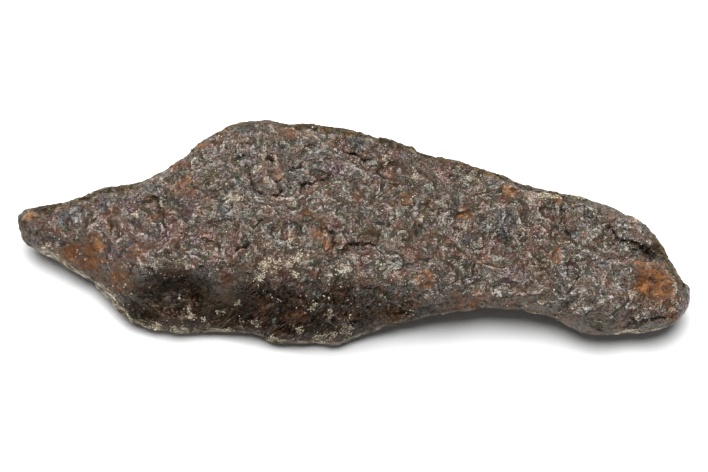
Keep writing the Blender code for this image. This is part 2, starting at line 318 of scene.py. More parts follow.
def evened_back(points):
    """The points moved so that the back edge, as the camera sees it, loses its waves."""
    backward = points @ np.array(BACKWARD)
    along = (points[:, 0] - points[:, 0].min()) / EDGE_COLUMN
    columns = np.round(along).astype(int)
    edge = np.full(columns.max() + 1, -np.inf)
    np.maximum.at(edge, columns, backward)
    wavy = averaged(edge, EDGE_WAVE)
    push = averaged(edge, EDGE_EVENING) - wavy + EDGE_OUT
    places = np.arange(len(edge))
    near = smooth_step(1 - (np.interp(along, places, wavy) - backward) / EDGE_DEPTH)
    shift = np.interp(along, places, push) * near * smooth_step(points[:, 2] / 2)
    return points + np.outer(shift / BACKWARD[1], (0, 1, 0))


def crust_relief(points):
    """Height of the fine relief at each point."""
    warp = np.stack([perlin(points, WARP_SIZE, shift) for shift in (11.0, 23.0, 37.0)], axis=1)
    warped = points + warp * WARP
    sheets = (cloud(warped, SHEET_SIZE, 4) * SHEETS_PER_SWING) % 1.0
    sheet_edge = SHEET_STEP * (smooth_step(sheets / LEDGE_WIDTH) - sheets - 0.5)
    wrinkles = sum(height * creased(perlin(warped, size, 5.0)) for size, height in WRINKLES)
    along = np.array(Vector(STREAK_DIRECTION).normalized())
    squeezed = points - np.outer(points @ along, along) * (1 - 1 / STREAK_STRETCH)
    streaks = STREAK_HEIGHT * creased(perlin(squeezed, STREAK_SIZE, 3.0))
    in_streaks = near_zone(points, STREAKED)
    rough = sheet_edge + (wrinkles + flakes(warped)) * (1 - CALM_STREAKS * in_streaks)
    rough += streaks * in_streaks
    rough -= PIT_DEPTH * pits(warped)
    rough *= 1 - CALM_BACK * smooth_step(2.0 - near_line(points, BACK_RIM) / BACK_RIM_REACH)
    rough *= 1 - CALM_RIM * smooth_step(2.2 - near_line(points, RIM) / RIM_REACH[1])
    rough *= 1 - CALM_HOLLOW * near_zone(points, HOLLOW)
    return rough + sum(rise * near_zone(points, [zone], SWELL_FADE) for rise, zone in SWELLS)


def keep_mask(mesh, name, values):
    """A value for each point of a mesh, kept under a name that its material reads."""
    mask = mesh.attributes.new(name, "FLOAT", "POINT")
    mask.data.foreach_set("value", np.asarray(values, np.float32))


stone_mesh = fine_skin()
points, normals = read_skin(stone_mesh)
points = evened_back(points)
relief = crust_relief(points)
fall, crack = tears(points, normals)
# The flat spot that the stone rests on keeps no relief.
off_floor = smooth_step((points[:, 2] - 0.02) / 0.4)
points = points + normals * ((relief - fall) * off_floor)[:, None]
low, high = np.array(cad_box[0]) / MM + BOX_GAP, np.array(cad_box[1]) / MM - BOX_GAP
points = np.clip(points, low, high)
stone_mesh.vertices.foreach_set("co", (points * MM).astype(np.float32).ravel())
stone_mesh.update()

# Spots where the crust is rusty, purple, blue or olive, where pale soil has stuck, and where bare
# rust shows. Each has a middle and its reach in x and y. All but the soil reach SPOT_DEPTH in z.
RUST = [
    (-27.6, -2.6, 4.2, 1.7, 1.2), (-25.5, -4.0, 4.5, 1.8, 1.2), (-22.9, -6.2, 5.5, 1.8, 1.6),
    (-26.0, -2.5, 5.9, 1.2, 1.1), (-21.5, -4.1, 7.6, 0.9, 0.9), (28.5, -4.5, 5.7, 0.8, 0.8),
    (31.5, -8.4, 4.7, 0.8, 1.1), (-16.6, 2.8, 8.6, 1.2, 1.2), (-14.7, 7.9, 7.7, 1.2, 0.7),
    (-6.2, 9.1, 8.3, 0.9, 0.6), (5.3, 2.1, 7.7, 0.8, 0.8), (-4.4, -0.3, 8.8, 0.5, 0.6),
    (-3.3, -2.5, 8.9, 0.8, 0.9), (-2.4, -3.6, 8.8, 0.7, 0.7), (11.2, 0.4, 7.1, 0.8, 0.9),
    (15.6, 3.2, 7.0, 0.9, 0.8), (20.0, -4.0, 6.7, 0.8, 0.9), (7.2, -6.9, 7.5, 0.9, 0.9),
    (12.1, -8.3, 5.3, 1.1, 1.2), (10.4, -8.9, 5.3, 0.8, 1.2), (-8.5, -9.2, 5.4, 0.9, 1.2),
    (-5.6, -10.0, 5.0, 1.3, 1.2), (-12.3, -7.3, 7.9, 0.6, 1.2), (-32.2, 1.5, 4.5, 0.7, 0.6),
    (4.2, -9.0, 4.4, 1.0, 1.2), (-19.8, -9.5, 1.3, 0.8, 0.5),
]
PURPLE = [
    (-24.6, 1.0, 6.5, 0.8, 1.8), (-22.0, 1.3, 7.5, 1.0, 1.2), (-20.9, -2.8, 7.8, 1.6, 1.5),
    (-23.4, -3.6, 6.3, 1.2, 1.4), (-17.9, -1.9, 7.8, 1.4, 1.3), (-14.4, -3.0, 8.5, 1.4, 1.1),
    (-16.0, 0.7, 8.4, 0.8, 1.8), (-1.7, 5.1, 8.1, 1.2, 0.9), (16.0, -6.2, 6.8, 1.2, 1.4),
]
BLUE = [
    (-18.0, -7.6, 5.6, 2.2, 1.4), (-28.5, 1.0, 5.5, 1.2, 1.0), (-24.8, 2.0, 6.3, 0.6, 1.0),
    (-12.4, -0.3, 8.8, 0.9, 0.8), (0.3, 8.3, 7.7, 1.0, 0.8), (11.2, -2.2, 7.0, 0.8, 0.7),
    (14.7, -1.2, 6.8, 1.2, 0.9), (22.1, -0.9, 6.2, 1.0, 1.1), (24.5, -4.2, 5.8, 1.4, 1.1),
]
OLIVE = [
    (-32.9, 0.3, 3.6, 0.8, 1.4), (-10.9, -7.2, 8.4, 1.4, 1.2), (-8.8, -6.0, 9.2, 1.2, 0.9),
    (-16.8, -5.7, 8.5, 2.2, 0.5), (-20.0, -8.6, 2.1, 1.0, 0.9), (-14.1, 3.4, 8.7, 1.4, 1.4),
    (-12.3, 2.6, 8.7, 1.4, 0.9), (2.3, -2.3, 7.9, 1.4, 1.1), (7.7, 1.2, 7.6, 1.0, 0.7),
    (18.5, -4.6, 6.6, 1.4, 0.9), (24.4, -10.3, 4.7, 2.2, 1.2), (30.6, -2.5, 5.0, 0.8, 1.1),
    (-6.5, -9.1, 7.0, 1.6, 1.2),
]
SOIL = [
    (-16.9, -7.5, 4.0, 0.3, 0.2), (-16.2, -8.4, 3.7, 0.4, 0.3), (-15.9, -9.0, 3.3, 0.5, 0.2),
    (-14.7, -9.1, 2.8, 0.2, 0.3), (-11.3, -8.3, 5.1, 0.4, 0.1), (-12.8, -8.6, 3.5, 0.6, 0.1),
    (-9.5, -9.8, 3.4, 0.4, 0.3), (-3.8, -9.6, 6.5, 0.4, 0.3), (-2.2, -10.0, 5.8, 0.3, 0.5),
    (0.6, -8.4, 8.0, 0.2, 0.2), (-8.4, -6.3, 9.2, 0.7, 0.6), (-7.3, -6.2, 9.2, 0.5, 0.5),
    (-9.1, -7.4, 8.8, 0.6, 0.5), (-7.8, -7.0, 9.1, 0.4, 0.3), (-6.2, -6.3, 9.0, 0.3, 0.7),
    (-5.3, -5.2, 8.9, 0.7, 0.6), (-4.5, -5.5, 8.8, 0.3, 0.6), (-5.5, -7.2, 8.9, 0.4, 0.3),
    (-0.8, -6.2, 8.3, 0.7, 0.6), (-6.1, -3.1, 8.9, 0.2, 0.8), (-3.1, -10.8, 2.0, 0.6, 0.5),
    (-1.9, -10.8, 2.7, 0.4, 0.5), (-0.6, -10.4, 3.2, 0.6, 0.8), (-5.3, -10.6, 3.4, 0.4, 0.3),
    (-16.9, -9.8, 1.2, 1.2, 0.2), (-19.3, -9.4, 1.6, 0.7, 0.3), (-12.9, -9.7, 1.4, 1.0, 0.1),
    (-8.0, -10.7, 1.9, 0.8, 0.1), (-4.2, 9.5, 7.8, 0.5, 0.3), (-11.7, 1.5, 8.8, 0.8, 0.6),
    (3.4, 7.0, 7.3, 0.3, 0.9), (6.2, 4.6, 7.3, 0.3, 0.8), (6.8, -0.3, 7.5, 0.3, 0.5),
    (3.8, -5.8, 7.8, 0.3, 0.3), (12.2, 4.7, 6.8, 0.6, 0.2), (19.4, 2.9, 6.5, 1.4, 0.3),
    (22.5, 3.1, 5.8, 0.9, 0.3), (28.3, 0.4, 5.5, 0.4, 0.5), (31.8, -6.0, 5.1, 0.1, 0.8),
    (-21.7, 0.2, 7.6, 0.5, 0.3),
]
BARE_RUST = [
    (-28.0, -2.4, 4.3, 1.4, 0.8), (-26.2, -3.5, 4.5, 1.3, 0.9), (-25.4, -2.4, 5.9, 0.9, 0.7),
    (-23.2, -5.6, 5.2, 0.9, 0.8), (29.4, -6.2, 5.2, 1.6, 2.1), (28.6, -4.4, 5.7, 0.7, 0.8),
    (30.9, -6.6, 5.1, 0.9, 1.4), (-17.6, 5.8, 7.3, 1.0, 0.6),
]
SPOT_DEPTH = 1.7
SPOT_FADE = 0.7
HEAP_FADE = 0.5


def near_spots(points, spots):
    zones = [((x, y, z), (reach_x, reach_y, SPOT_DEPTH)) for x, y, z, reach_x, reach_y in spots]
    return near_zone(points, zones, SPOT_FADE)


for name, spots in (("purple", PURPLE), ("blue", BLUE), ("olive", OLIVE)):
    keep_mask(stone_mesh, name, near_spots(points, spots))
stained, bare = near_spots(points, RUST), near_spots(points, BARE_RUST)
keep_mask(stone_mesh, "rust", np.maximum(0.7 * stained, 1.15 * bare))
heaps = [((x, y, z), (wide, deep, max(wide, deep) + 0.3)) for x, y, z, wide, deep in SOIL]
in_heap = near_zone(points, heaps, HEAP_FADE)
keep_mask(stone_mesh, "soil", in_heap)
painted = (("dark", PAINTED_SHADE_ZONES), ("hollow", HOLLOW), ("wind_polished", PAINTED_SHEEN_ZONES), ("streaks", STREAKED))
for name, zones in painted:
    keep_mask(stone_mesh, name, near_zone(points, zones, ZONE_FADE))
from_rim = near_line(points, RIM)
fraying = smooth_step((RIM_FRAY - points[:, 0]) / RIM_FRAYING)
rim_reach = RIM_REACH[0] + (RIM_REACH[1] - RIM_REACH[0]) * fraying
keep_mask(stone_mesh, "rim", smooth_step(1.5 - from_rim / rim_reach))
keep_mask(stone_mesh, "from_rim", from_rim)
keep_mask(stone_mesh, "back_rim", smooth_step(1.4 - near_line(points, BACK_RIM) / BACK_RIM_REACH))
keep_mask(stone_mesh, "height", relief)
keep_mask(stone_mesh, "underside", smooth_step((0.35 - normals[:, 2]) / 0.5))
keep_mask(stone_mesh, "crack", crack)
stone_mesh.shade_smooth()
stone = bpy.data.objects.new("stone", stone_mesh)
bpy.context.scene.collection.objects.link(stone)


def add_node(tree, kind, inputs=None, **settings):
    """A shader node with its settings, and its inputs given as values or as links."""
    node = tree.nodes.new("ShaderNode" + kind)
    for name, value in settings.items():
        setattr(node, name, value)
    for name, value in (inputs or {}).items():
        if isinstance(value, bpy.types.NodeSocket):
            tree.links.new(value, node.inputs[name])
        else:
            node.inputs[name].default_value = value
    return node


def worked_out(tree, operation, first, second=0.0, third=0.0):
    """One step of arithmetic."""
    return add_node(tree, "Math", {0: first, 1: second, 2: third}, operation=operation).outputs[0]


def share_of(tree, value, strength):
    return worked_out(tree, "MULTIPLY", value, strength)


def plus_share(tree, base, value, strength):
    """A base with a share of another value added."""
    return worked_out(tree, "MULTIPLY_ADD", value, strength, base)


def rest_of(tree, share):
    return worked_out(tree, "SUBTRACT", 1.0, share)


def most_of(tree, first, *others):
    """The largest of several values."""
    for other in others:
        first = worked_out(tree, "MAXIMUM", first, other)
    return first


def vector_of(tree, operation, first, second):
    return add_node(tree, "VectorMath", {0: first, 1: second}, operation=operation)


def blended(tree, share, under, over, how="MIX"):
    """Two colours mixed by a share."""
    mix = add_node(tree, "Mix", {0: share, 6: under, 7: over}, data_type="RGBA", blend_type=how)
    return mix.outputs[2]


def spread(tree, value, low, high, to_low=0.0, to_high=1.0):
    """A value stretched from one range to another, and kept inside it."""
    inputs = {"Value": value, 1: low, 2: high, 3: to_low, 4: to_high}
    return add_node(tree, "MapRange", inputs).outputs[0]


def between(tree, share, at_none, at_full):
    """The value that a share picks between two."""
    return spread(tree, share, 0.0, 1.0, at_none, at_full)


def clouds(tree, place, per_mm, detail, roughness=0.55, distortion=0.0, output="Fac"):
    inputs = {"Vector": place, "Scale": per_mm, "Detail": detail, "Roughness": roughness}
    return add_node(tree, "TexNoise", inputs | {"Distortion": distortion}).outputs[output]


def sharp_ridges(tree, place, per_mm, roughness):
    inputs = {"Vector": place, "Scale": per_mm, "Detail": 2.0, "Roughness": roughness}
    shape = {"Offset": 0.9, "Gain": 1.2}
    return add_node(tree, "TexNoise", inputs | shape, noise_type="RIDGED_MULTIFRACTAL").outputs["Fac"]


def ragged(tree, mask, grit, bite, low, high):
    """A soft mask given a broken edge by a noise."""
    bitten = plus_share(tree, mask, worked_out(tree, "SUBTRACT", grit, 0.5), bite)
    return spread(tree, bitten, low, high)


def mask_of(tree, name):
    return add_node(tree, "Attribute", attribute_name=name).outputs["Fac"]


def place_in_mm(tree):
    place = add_node(tree, "TexCoord").outputs["Object"]
    return add_node(tree, "Mapping", {"Vector": place, "Scale": (1 / MM,) * 3}).outputs[0]


def colour(r, g, b):
    return (r, g, b, 1.0)


OXIDE_BROWN = colour(0.058, 0.040, 0.025)
OXIDE_GREEN = colour(0.045, 0.038, 0.026)
OXIDE_PURPLE = colour(0.078, 0.034, 0.036)
OXIDE_BLUE = colour(0.030, 0.037, 0.041)
OXIDE_RUSSET = colour(0.085, 0.042, 0.018)
RUST_ORANGE = colour(0.215, 0.083, 0.020)
RUST_BROWN = colour(0.110, 0.046, 0.019)
POLISH_AND_GLINT_GREY = colour(0.235, 0.225, 0.212)
OLIVE_FILM = colour(0.062, 0.044, 0.020)
WORN_EDGE = colour(0.125, 0.084, 0.038)
SHADE_BLACK = colour(0.011, 0.007, 0.004)
SOIL_CREAM = colour(0.720, 0.650, 0.500)
SOIL_BEIGE = colour(0.260, 0.205, 0.125)

# Tints that shift the crust's hue from place to place, and the tint of its gloss.
WARM_TINT = colour(1.10, 0.96, 0.82)
COOL_TINT = colour(0.94, 0.98, 1.00)
GREEN_TINT = colour(0.95, 1.03, 0.93)
MAUVE_TINT = colour(1.07, 0.93, 1.02)
FILM_TINT = colour(1.0, 0.98, 0.95)

# How strongly each film of colour, and each painted shade, covers the oxide.
PURPLE_SHARE = 0.75
BLUE_SHARE = 0.9
OLIVE_SHARE = 0.6
RUST_SHARE = 0.8
GAP_SHADE_SHARE = 0.5
CRACK_SHADE_SHARE = 0.85
PAINTED_SHADE_SHARE = 0.42
RIM_SHARE = 0.8
SOIL_SHARE = 0.3

# Fine patterns in the material, and their shares of its bump. Leaves come in two sizes, each with
# its share.
FIBRES_PER_MM = 7.0
FOLDS_PER_MM = 0.6
FOLD_REACH = 0.5
GRAINS_PER_MM = 7.5
GRAIN_SHARE = 0.95
RIDGES_PER_MM = 2.4
RIDGE_SHARE = 0.20
RIDGE_BASE = 0.20
COMBED_PER_MM = 6.0
LEAVES = ((2.0, 0.4), (0.75, 0.6))
LEAF_SHARE = 0.5
LEDGES_PER_MM = 0.5
LEDGE_SHARE = 3.0
SMOOTHED_LEDGE_SHARE = 0.35 * LEDGE_SHARE
FACETS_PER_MM = (1.1, 2.8)
FACET_SHARE = 4.0
BUMP_HEIGHT = 0.50

# How much of the bump shows on the top and in the hollow, and how much higher it is where shade is
# painted.
TOP_BUMP = 0.45
HOLLOW_BUMP = 0.3
SHADE_ZONE_RELIEF = 1.6

TOP_METAL = 0.35
FILMED_METAL = 0.95
OXIDE_IOR = 1.85
OXIDE_ROUGHNESS = 0.23
POLISHED_ROUGHNESS = 0.16
DULLNESS = 0.40
STREAK_WAY = tuple(Vector(STREAK_DIRECTION).normalized())


def pale_soil_group():
    """Dry desert soil: its mottled colour and the height of its grit, at a place in millimetres."""
    tree = bpy.data.node_groups.new("pale_soil", "ShaderNodeTree")
    for name, kind in (("Place", "NodeSocketVector"), ("Grit per millimetre", "NodeSocketFloat")):
        tree.interface.new_socket(name=name, in_out="INPUT", socket_type=kind)
    for name, kind in (("Colour", "NodeSocketColor"), ("Height", "NodeSocketFloat")):
        tree.interface.new_socket(name=name, in_out="OUTPUT", socket_type=kind)
    given = tree.nodes.new("NodeGroupInput").outputs
    grit = clouds(tree, given["Place"], given["Grit per millimetre"], 2, 0.6)
    stain = clouds(tree, given["Place"], 1.6, 3)
    tone = spread(tree, plus_share(tree, stain, grit, 0.5), 0.55, 0.90)
    result = tree.nodes.new("NodeGroupOutput").inputs
    tree.links.new(blended(tree, tone, SOIL_BEIGE, SOIL_CREAM), result["Colour"])
    tree.links.new(grit, result["Height"])
    return tree


PALE_SOIL = pale_soil_group()


def combed_place(tree, place):
    """The place squeezed along the streaks, so that a noise there is drawn out long."""
    run = vector_of(tree, "DOT_PRODUCT", place, STREAK_WAY).outputs["Value"]
    squeeze = share_of(tree, run, 1 - 1 / STREAK_STRETCH)
    squeeze = add_node(tree, "VectorMath", {0: STREAK_WAY, "Scale": squeeze}, operation="SCALE")
    return vector_of(tree, "SUBTRACT", place, squeeze.outputs[0]).outputs[0]


def folded_place(tree, place, elsewhere):
    """The place moved about, so that the grain there looks folded."""
    wander = clouds(tree, elsewhere, FOLDS_PER_MM, 2, 0.6, output="Color")
    wander = vector_of(tree, "SUBTRACT", wander, (0.5,) * 3).outputs[0]
    wander = vector_of(tree, "MULTIPLY", wander, (FOLD_REACH,) * 3).outputs[0]
    return vector_of(tree, "ADD", place, wander).outputs[0]


def grain_of_crust(tree, place, folded):
    """Height of the crust's grain, which is combed into long streaks on the flank."""
    grains = clouds(tree, folded, GRAINS_PER_MM, 1, 0.6)
    ridges = plus_share(tree, RIDGE_BASE, sharp_ridges(tree, folded, RIDGES_PER_MM, 0.6), RIDGE_SHARE)
    crumpled = plus_share(tree, ridges, grains, GRAIN_SHARE)
    combed = clouds(tree, combed_place(tree, place), COMBED_PER_MM, 2, 0.6, 0.4)
    combed = spread(tree, combed, 0.36, 0.68, 0.24, 1.20)
    return add_node(tree, "Mix", {0: mask_of(tree, "streaks"), 2: crumpled, 3: combed}).outputs[0]


def crust_patterns(tree):
    """The noises that the crust's colours, gloss and relief share."""
    place = place_in_mm(tree)
    elsewhere = add_node(tree, "Mapping", {"Vector": place, "Location": (31, 7, 19)}).outputs[0]
    crust = SimpleNamespace(place=place)
    crust.broad = clouds(tree, place, 0.30, 3)
    crust.broad_other = clouds(tree, elsewhere, 0.45, 2)
    crust.middle = clouds(tree, place, 1.2, 2)
    crust.middle_other = clouds(tree, elsewhere, 0.9, 2)
    crust.fine = clouds(tree, place, 3.4, 3, 0.6)
    crust.blooms = clouds(tree, elsewhere, 0.38, 2)
    crust.warmth = clouds(tree, elsewhere, 0.75, 1, 0.5)
    crust.hue = clouds(tree, elsewhere, 1.1, 1, 0.5)
    crust.folded = folded_place(tree, place, elsewhere)
    crust.crumpled = grain_of_crust(tree, place, crust.folded)
    return crust


def find_films(tree, crust):
    """Adds where each film, stain and deposit lies on the crust, and where shade is painted, from 0 to
    1.
    """
    hollow, back_rim = mask_of(tree, "hollow"), mask_of(tree, "back_rim")
    purple = most_of(tree, spread(tree, crust.broad_other, 0.54, 0.68), mask_of(tree, "purple"))
    crust.purple = ragged(tree, purple, crust.middle, 1.4, 0.30, 0.80)
    blue = most_of(tree, spread(tree, crust.broad, 0.36, 0.26), mask_of(tree, "blue"))
    crust.blue = ragged(tree, blue, crust.middle_other, 1.4, 0.30, 0.80)
    # The back edge gets the olive film too, partly as painted shade where it turns away from the light.
    olive = most_of(tree, mask_of(tree, "olive"), back_rim)
    crust.olive = ragged(tree, olive, crust.middle, 1.4, 0.40, 0.80)
    crust.dark = ragged(tree, mask_of(tree, "dark"), crust.middle, 1.0, 0.15, 0.75)
    russet = plus_share(tree, crust.middle_other, crust.dark, 0.06)
    crust.russet = share_of(tree, spread(tree, russet, 0.50, 0.68, 0.0, 0.85), rest_of(tree, hollow))
    rust = most_of(tree, mask_of(tree, "rust"), spread(tree, crust.blooms, 0.58, 0.76, 0.0, 0.5))
    crust.rust = ragged(tree, rust, crust.middle, 2.2, 0.15, 1.05)
    crust.rim = ragged(tree, mask_of(tree, "rim"), crust.middle, 1.2, 0.30, 0.90)
    soil = ragged(tree, mask_of(tree, "soil"), crust.fine, 3.0, 0.60, 1.30)
    crust.soil = share_of(tree, soil, SOIL_SHARE)
    worn = ragged(tree, back_rim, crust.fine, 3.0, 0.40, 1.30)
    crust.worn = share_of(tree, worn, spread(tree, crust.middle_other, 0.36, 0.56, 0.25, 0.8))


def find_polish(tree, crust):
    """Adds where the high grains are polished, partly painted glints, and where painted shade lies in
    the gaps between them.
    """
    hollow = mask_of(tree, "hollow")
    covered = most_of(tree, share_of(tree, crust.rust, 0.5), share_of(tree, hollow, 0.9))
    covered = most_of(tree, covered, share_of(tree, crust.olive, 0.5))
    bright = share_of(tree, spread(tree, crust.middle, 0.30, 0.60, 0.45, 1.0), rest_of(tree, covered))
    crust.polished = share_of(tree, spread(tree, crust.crumpled, 0.74, 0.95), bright)
    # Painted shade where the grain and the relief are low, between the high grains.
    gap = spread(tree, crust.crumpled, 0.70, 0.46, 0.0, 0.85)
    crust.gap = most_of(tree, gap, spread(tree, mask_of(tree, "height"), -0.62, -0.38, 0.5, 0.0))


def oxide_colour(tree, crust):
    """Brown and greenish oxide with its films, pale polished grains that are partly painted glints,
    painted shade in gaps and cracks, and drifting hue.
    """
    skin = blended(tree, spread(tree, crust.broad, 0.42, 0.60), OXIDE_BROWN, OXIDE_GREEN)
    skin = blended(tree, share_of(tree, crust.purple, PURPLE_SHARE), skin, OXIDE_PURPLE)
    skin = blended(tree, share_of(tree, crust.blue, BLUE_SHARE), skin, OXIDE_BLUE)
    skin = blended(tree, crust.russet, skin, OXIDE_RUSSET)
    skin = blended(tree, share_of(tree, crust.olive, OLIVE_SHARE), skin, OLIVE_FILM)
    # The polished high grains are painted pale grey: partly bare polished crust, partly painted glints.
    # More of them show on the shaded flank and where sheen is painted.
    glint_share = most_of(tree, crust.dark, mask_of(tree, "wind_polished"))
    glint_share = share_of(tree, crust.polished, between(tree, glint_share, 0.35, 0.75))
    skin = blended(tree, glint_share, skin, POLISH_AND_GLINT_GREY)
    # Painted shade in the gaps between the grains and in the cracks along torn sheets.
    skin = blended(tree, share_of(tree, crust.gap, GAP_SHADE_SHARE), skin, SHADE_BLACK)
    skin = blended(tree, share_of(tree, mask_of(tree, "crack"), CRACK_SHADE_SHARE), skin, SHADE_BLACK)
    warmth = spread(tree, plus_share(tree, crust.broad_other, crust.warmth, 0.8), 0.70, 1.08)
    skin = blended(tree, 1.0, skin, blended(tree, warmth, COOL_TINT, WARM_TINT), "MULTIPLY")
    hue = spread(tree, crust.hue, 0.36, 0.64)
    return blended(tree, 1.0, skin, blended(tree, hue, GREEN_TINT, MAUVE_TINT), "MULTIPLY")


def rust_colour(tree, crust):
    """Orange to brown rust, with painted shade between its grains and painted light on their tops."""
    tone = blended(tree, spread(tree, crust.middle_other, 0.38, 0.60), RUST_ORANGE, RUST_BROWN)
    grain_shade = spread(tree, crust.crumpled, 0.50, 1.00, 0.45, 1.55)
    return blended(tree, 1.0, tone, grain_shade, "MULTIPLY")


def rim_colour(tree, crust, soil_tone):
    """Olive fibres with soil between them, which run beside the lower edge; the pale ones are partly
    painted bounce light.
    """
    out = share_of(tree, mask_of(tree, "from_rim"), FIBRES_PER_MM)
    out = add_node(tree, "CombineXYZ", {"Z": out}).outputs[0]
    fibres = clouds(tree, vector_of(tree, "ADD", crust.place, out).outputs[0], 0.9, 2, 0.6)
    return blended(tree, spread(tree, fibres, 0.44, 0.64), OLIVE_FILM, soil_tone)


def crust_colour(tree, crust):
    """The oxide, and over it rust, painted shade on the flank, hollow and back edge, the worn back edge,
    fibres partly painted as bounce light, and soil.
    """
    skin = oxide_colour(tree, crust)
    skin = blended(tree, share_of(tree, crust.rust, RUST_SHARE), skin, rust_colour(tree, crust))
    # Painted shade: the flank, the hollow and, faintly, the back edge are darkened towards black, except
    # on the pale polished grains.
    shaded = share_of(tree, crust.dark, PAINTED_SHADE_SHARE)
    shaded = most_of(tree, shaded, share_of(tree, mask_of(tree, "back_rim"), 0.1))
    shaded = share_of(tree, shaded, spread(tree, crust.polished, 0.30, 0.75, 1.0, 0.0))
    skin = blended(tree, shaded, skin, SHADE_BLACK)
    worn_tone = blended(tree, spread(tree, crust.crumpled, 0.60, 0.95), OLIVE_FILM, WORN_EDGE)
    skin = blended(tree, crust.worn, skin, worn_tone)
    soil_inputs = {"Place": crust.place, "Grit per millimetre": 6.0}
    soil_tone = add_node(tree, "Group", soil_inputs, node_tree=PALE_SOIL).outputs["Colour"]
    rim_tone = rim_colour(tree, crust, soil_tone)
    # The pale fibres along the lower edge are partly painted light bounced up from the table.
    skin = blended(tree, share_of(tree, crust.rim, RIM_SHARE), skin, rim_tone)
    return blended(tree, crust.soil, skin, soil_tone)


def crust_roughness(tree, crust):
    """Glossy oxide, glossiest where it is polished, and dull rust, soil and back edge."""
    dull = most_of(tree, crust.rust, crust.soil, share_of(tree, mask_of(tree, "back_rim"), 0.5))
    polish = between(tree, crust.polished, OXIDE_ROUGHNESS, POLISHED_ROUGHNESS)
    return plus_share(tree, polish, dull, DULLNESS)


def crust_metal(tree, crust):
    """How metallic the crust is. Rust, the zones of painted shade, cracks, back edge and underside are
    most so.
    """
    filmed = most_of(
        tree, crust.dark, share_of(tree, crust.rust, 0.7),
        mask_of(tree, "back_rim"), mask_of(tree, "underside"), mask_of(tree, "crack"),
    )
    metal = between(tree, filmed, TOP_METAL, FILMED_METAL)
    return worked_out(tree, "SUBTRACT", metal, crust.soil)


def facets_of_crust(tree, folded):
    """Height of small flat faces, each tilted its own way."""
    facets = []
    for per_mm in FACETS_PER_MM:
        cells = add_node(tree, "TexVoronoi", {"Vector": folded, "Scale": per_mm}).outputs
        off = vector_of(tree, "SUBTRACT", folded, cells["Position"]).outputs[0]
        lean = vector_of(tree, "SUBTRACT", cells["Color"], (0.5,) * 3).outputs[0]
        facets.append(vector_of(tree, "DOT_PRODUCT", off, lean).outputs["Value"])
    return worked_out(tree, "ADD", *facets)


def crust_bump(tree, crust):
    """The relief that is too fine for the mesh: grain, leaves, flat faces and long ledges."""
    leaves = 0.0
    for per_mm, share in LEAVES:
        cells = add_node(tree, "TexVoronoi", {"Vector": crust.folded, "Scale": per_mm})
        leaves = plus_share(tree, leaves, cells.outputs["Color"], share)
    raised = plus_share(tree, crust.crumpled, leaves, LEAF_SHARE)
    raised = plus_share(tree, raised, facets_of_crust(tree, crust.folded), FACET_SHARE)
    raised = share_of(tree, raised, spread(tree, crust.middle_other, 0.35, 0.62, 0.4, 1.1))
    raised = share_of(tree, raised, between(tree, crust.dark, 1.0, SHADE_ZONE_RELIEF))
    smoothed = most_of(tree, crust.dark, crust.rust)
    ledge_share = between(tree, smoothed, LEDGE_SHARE, SMOOTHED_LEDGE_SHARE)
    ledges = sharp_ridges(tree, crust.folded, LEDGES_PER_MM, 0.5)
    raised = plus_share(tree, raised, ledges, ledge_share)
    calm = between(tree, mask_of(tree, "hollow"), 1.0, HOLLOW_BUMP)
    coarse = most_of(tree, mask_of(tree, "streaks"), mask_of(tree, "dark"))
    calm = share_of(tree, calm, between(tree, coarse, TOP_BUMP, 1.0))
    bump = {"Height": raised, "Strength": calm, "Distance": BUMP_HEIGHT * MM}
    return add_node(tree, "Bump", bump).outputs[0]


def crust_material():
    material = bpy.data.materials.new("oxide_crust")
    material.use_nodes = True
    tree = material.node_tree
    shader = tree.nodes["Principled BSDF"]
    crust = crust_patterns(tree)
    find_films(tree, crust)
    find_polish(tree, crust)
    tree.links.new(crust_colour(tree, crust), shader.inputs["Base Color"])
    tree.links.new(crust_roughness(tree, crust), shader.inputs["Roughness"])
    tree.links.new(crust_metal(tree, crust), shader.inputs["Metallic"])
    tree.links.new(crust_bump(tree, crust), shader.inputs["Normal"])
    shader.inputs["IOR"].default_value = OXIDE_IOR
    shader.inputs["Specular Tint"].default_value = FILM_TINT
    return material


stone_mesh.materials.clear()
stone_mesh.materials.append(crust_material())
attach(stone, "root")
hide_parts("meteorite")


# The crumbs
# Grains of dry, pale soil from the ground the stone lay in. They sit in small heaps in the hollows of
# the crust and along its lower edge, held there by nothing but the rough skin.

# Crumbs are counted on a square millimetre, in a heap and strewn between the heaps. Each is
# squeezed or stretched in its three directions, from the least to the most share of the width.
CRUMB_WIDTH = 0.19
LEAST_STRETCH = (0.35, 0.35, 0.3)
MOST_STRETCH = (1.5, 1.1, 0.8)
CRUMBS_IN_HEAP = 55
CLUMP_SIZE = 0.6
CRUMBS_STRAY = 0.9
STRAY_PATCH_SIZE = 3.0
LOWEST_CRUMB = 0.35
CRUMB_GRIT_PER_MM = 9.0
CRUMB_GRIT_HEIGHT = 0.03
CRUMB_ROUGHNESS = 0.85
CRUMB_SEED = 11


def add_part(tree, kind, **settings):
    """A Geometry Nodes node with its settings."""
    node = tree.nodes.new(kind)
    for name, value in settings.items():
        setattr(node, name, value)
    return node


def crumb_material():
    material = bpy.data.materials.new("dry_soil")
    material.use_nodes = True
    tree = material.node_tree
    shader = tree.nodes["Principled BSDF"]
    inputs = {"Place": place_in_mm(tree), "Grit per millimetre": CRUMB_GRIT_PER_MM}
    look = add_node(tree, "Group", inputs, node_tree=PALE_SOIL).outputs
    tree.links.new(look["Colour"], shader.inputs["Base Color"])
    bump = add_node(tree, "Bump", {"Height": look["Height"], "Distance": CRUMB_GRIT_HEIGHT * MM})
    tree.links.new(bump.outputs[0], shader.inputs["Normal"])
    shader.inputs["Roughness"].default_value = CRUMB_ROUGHNESS
    return material


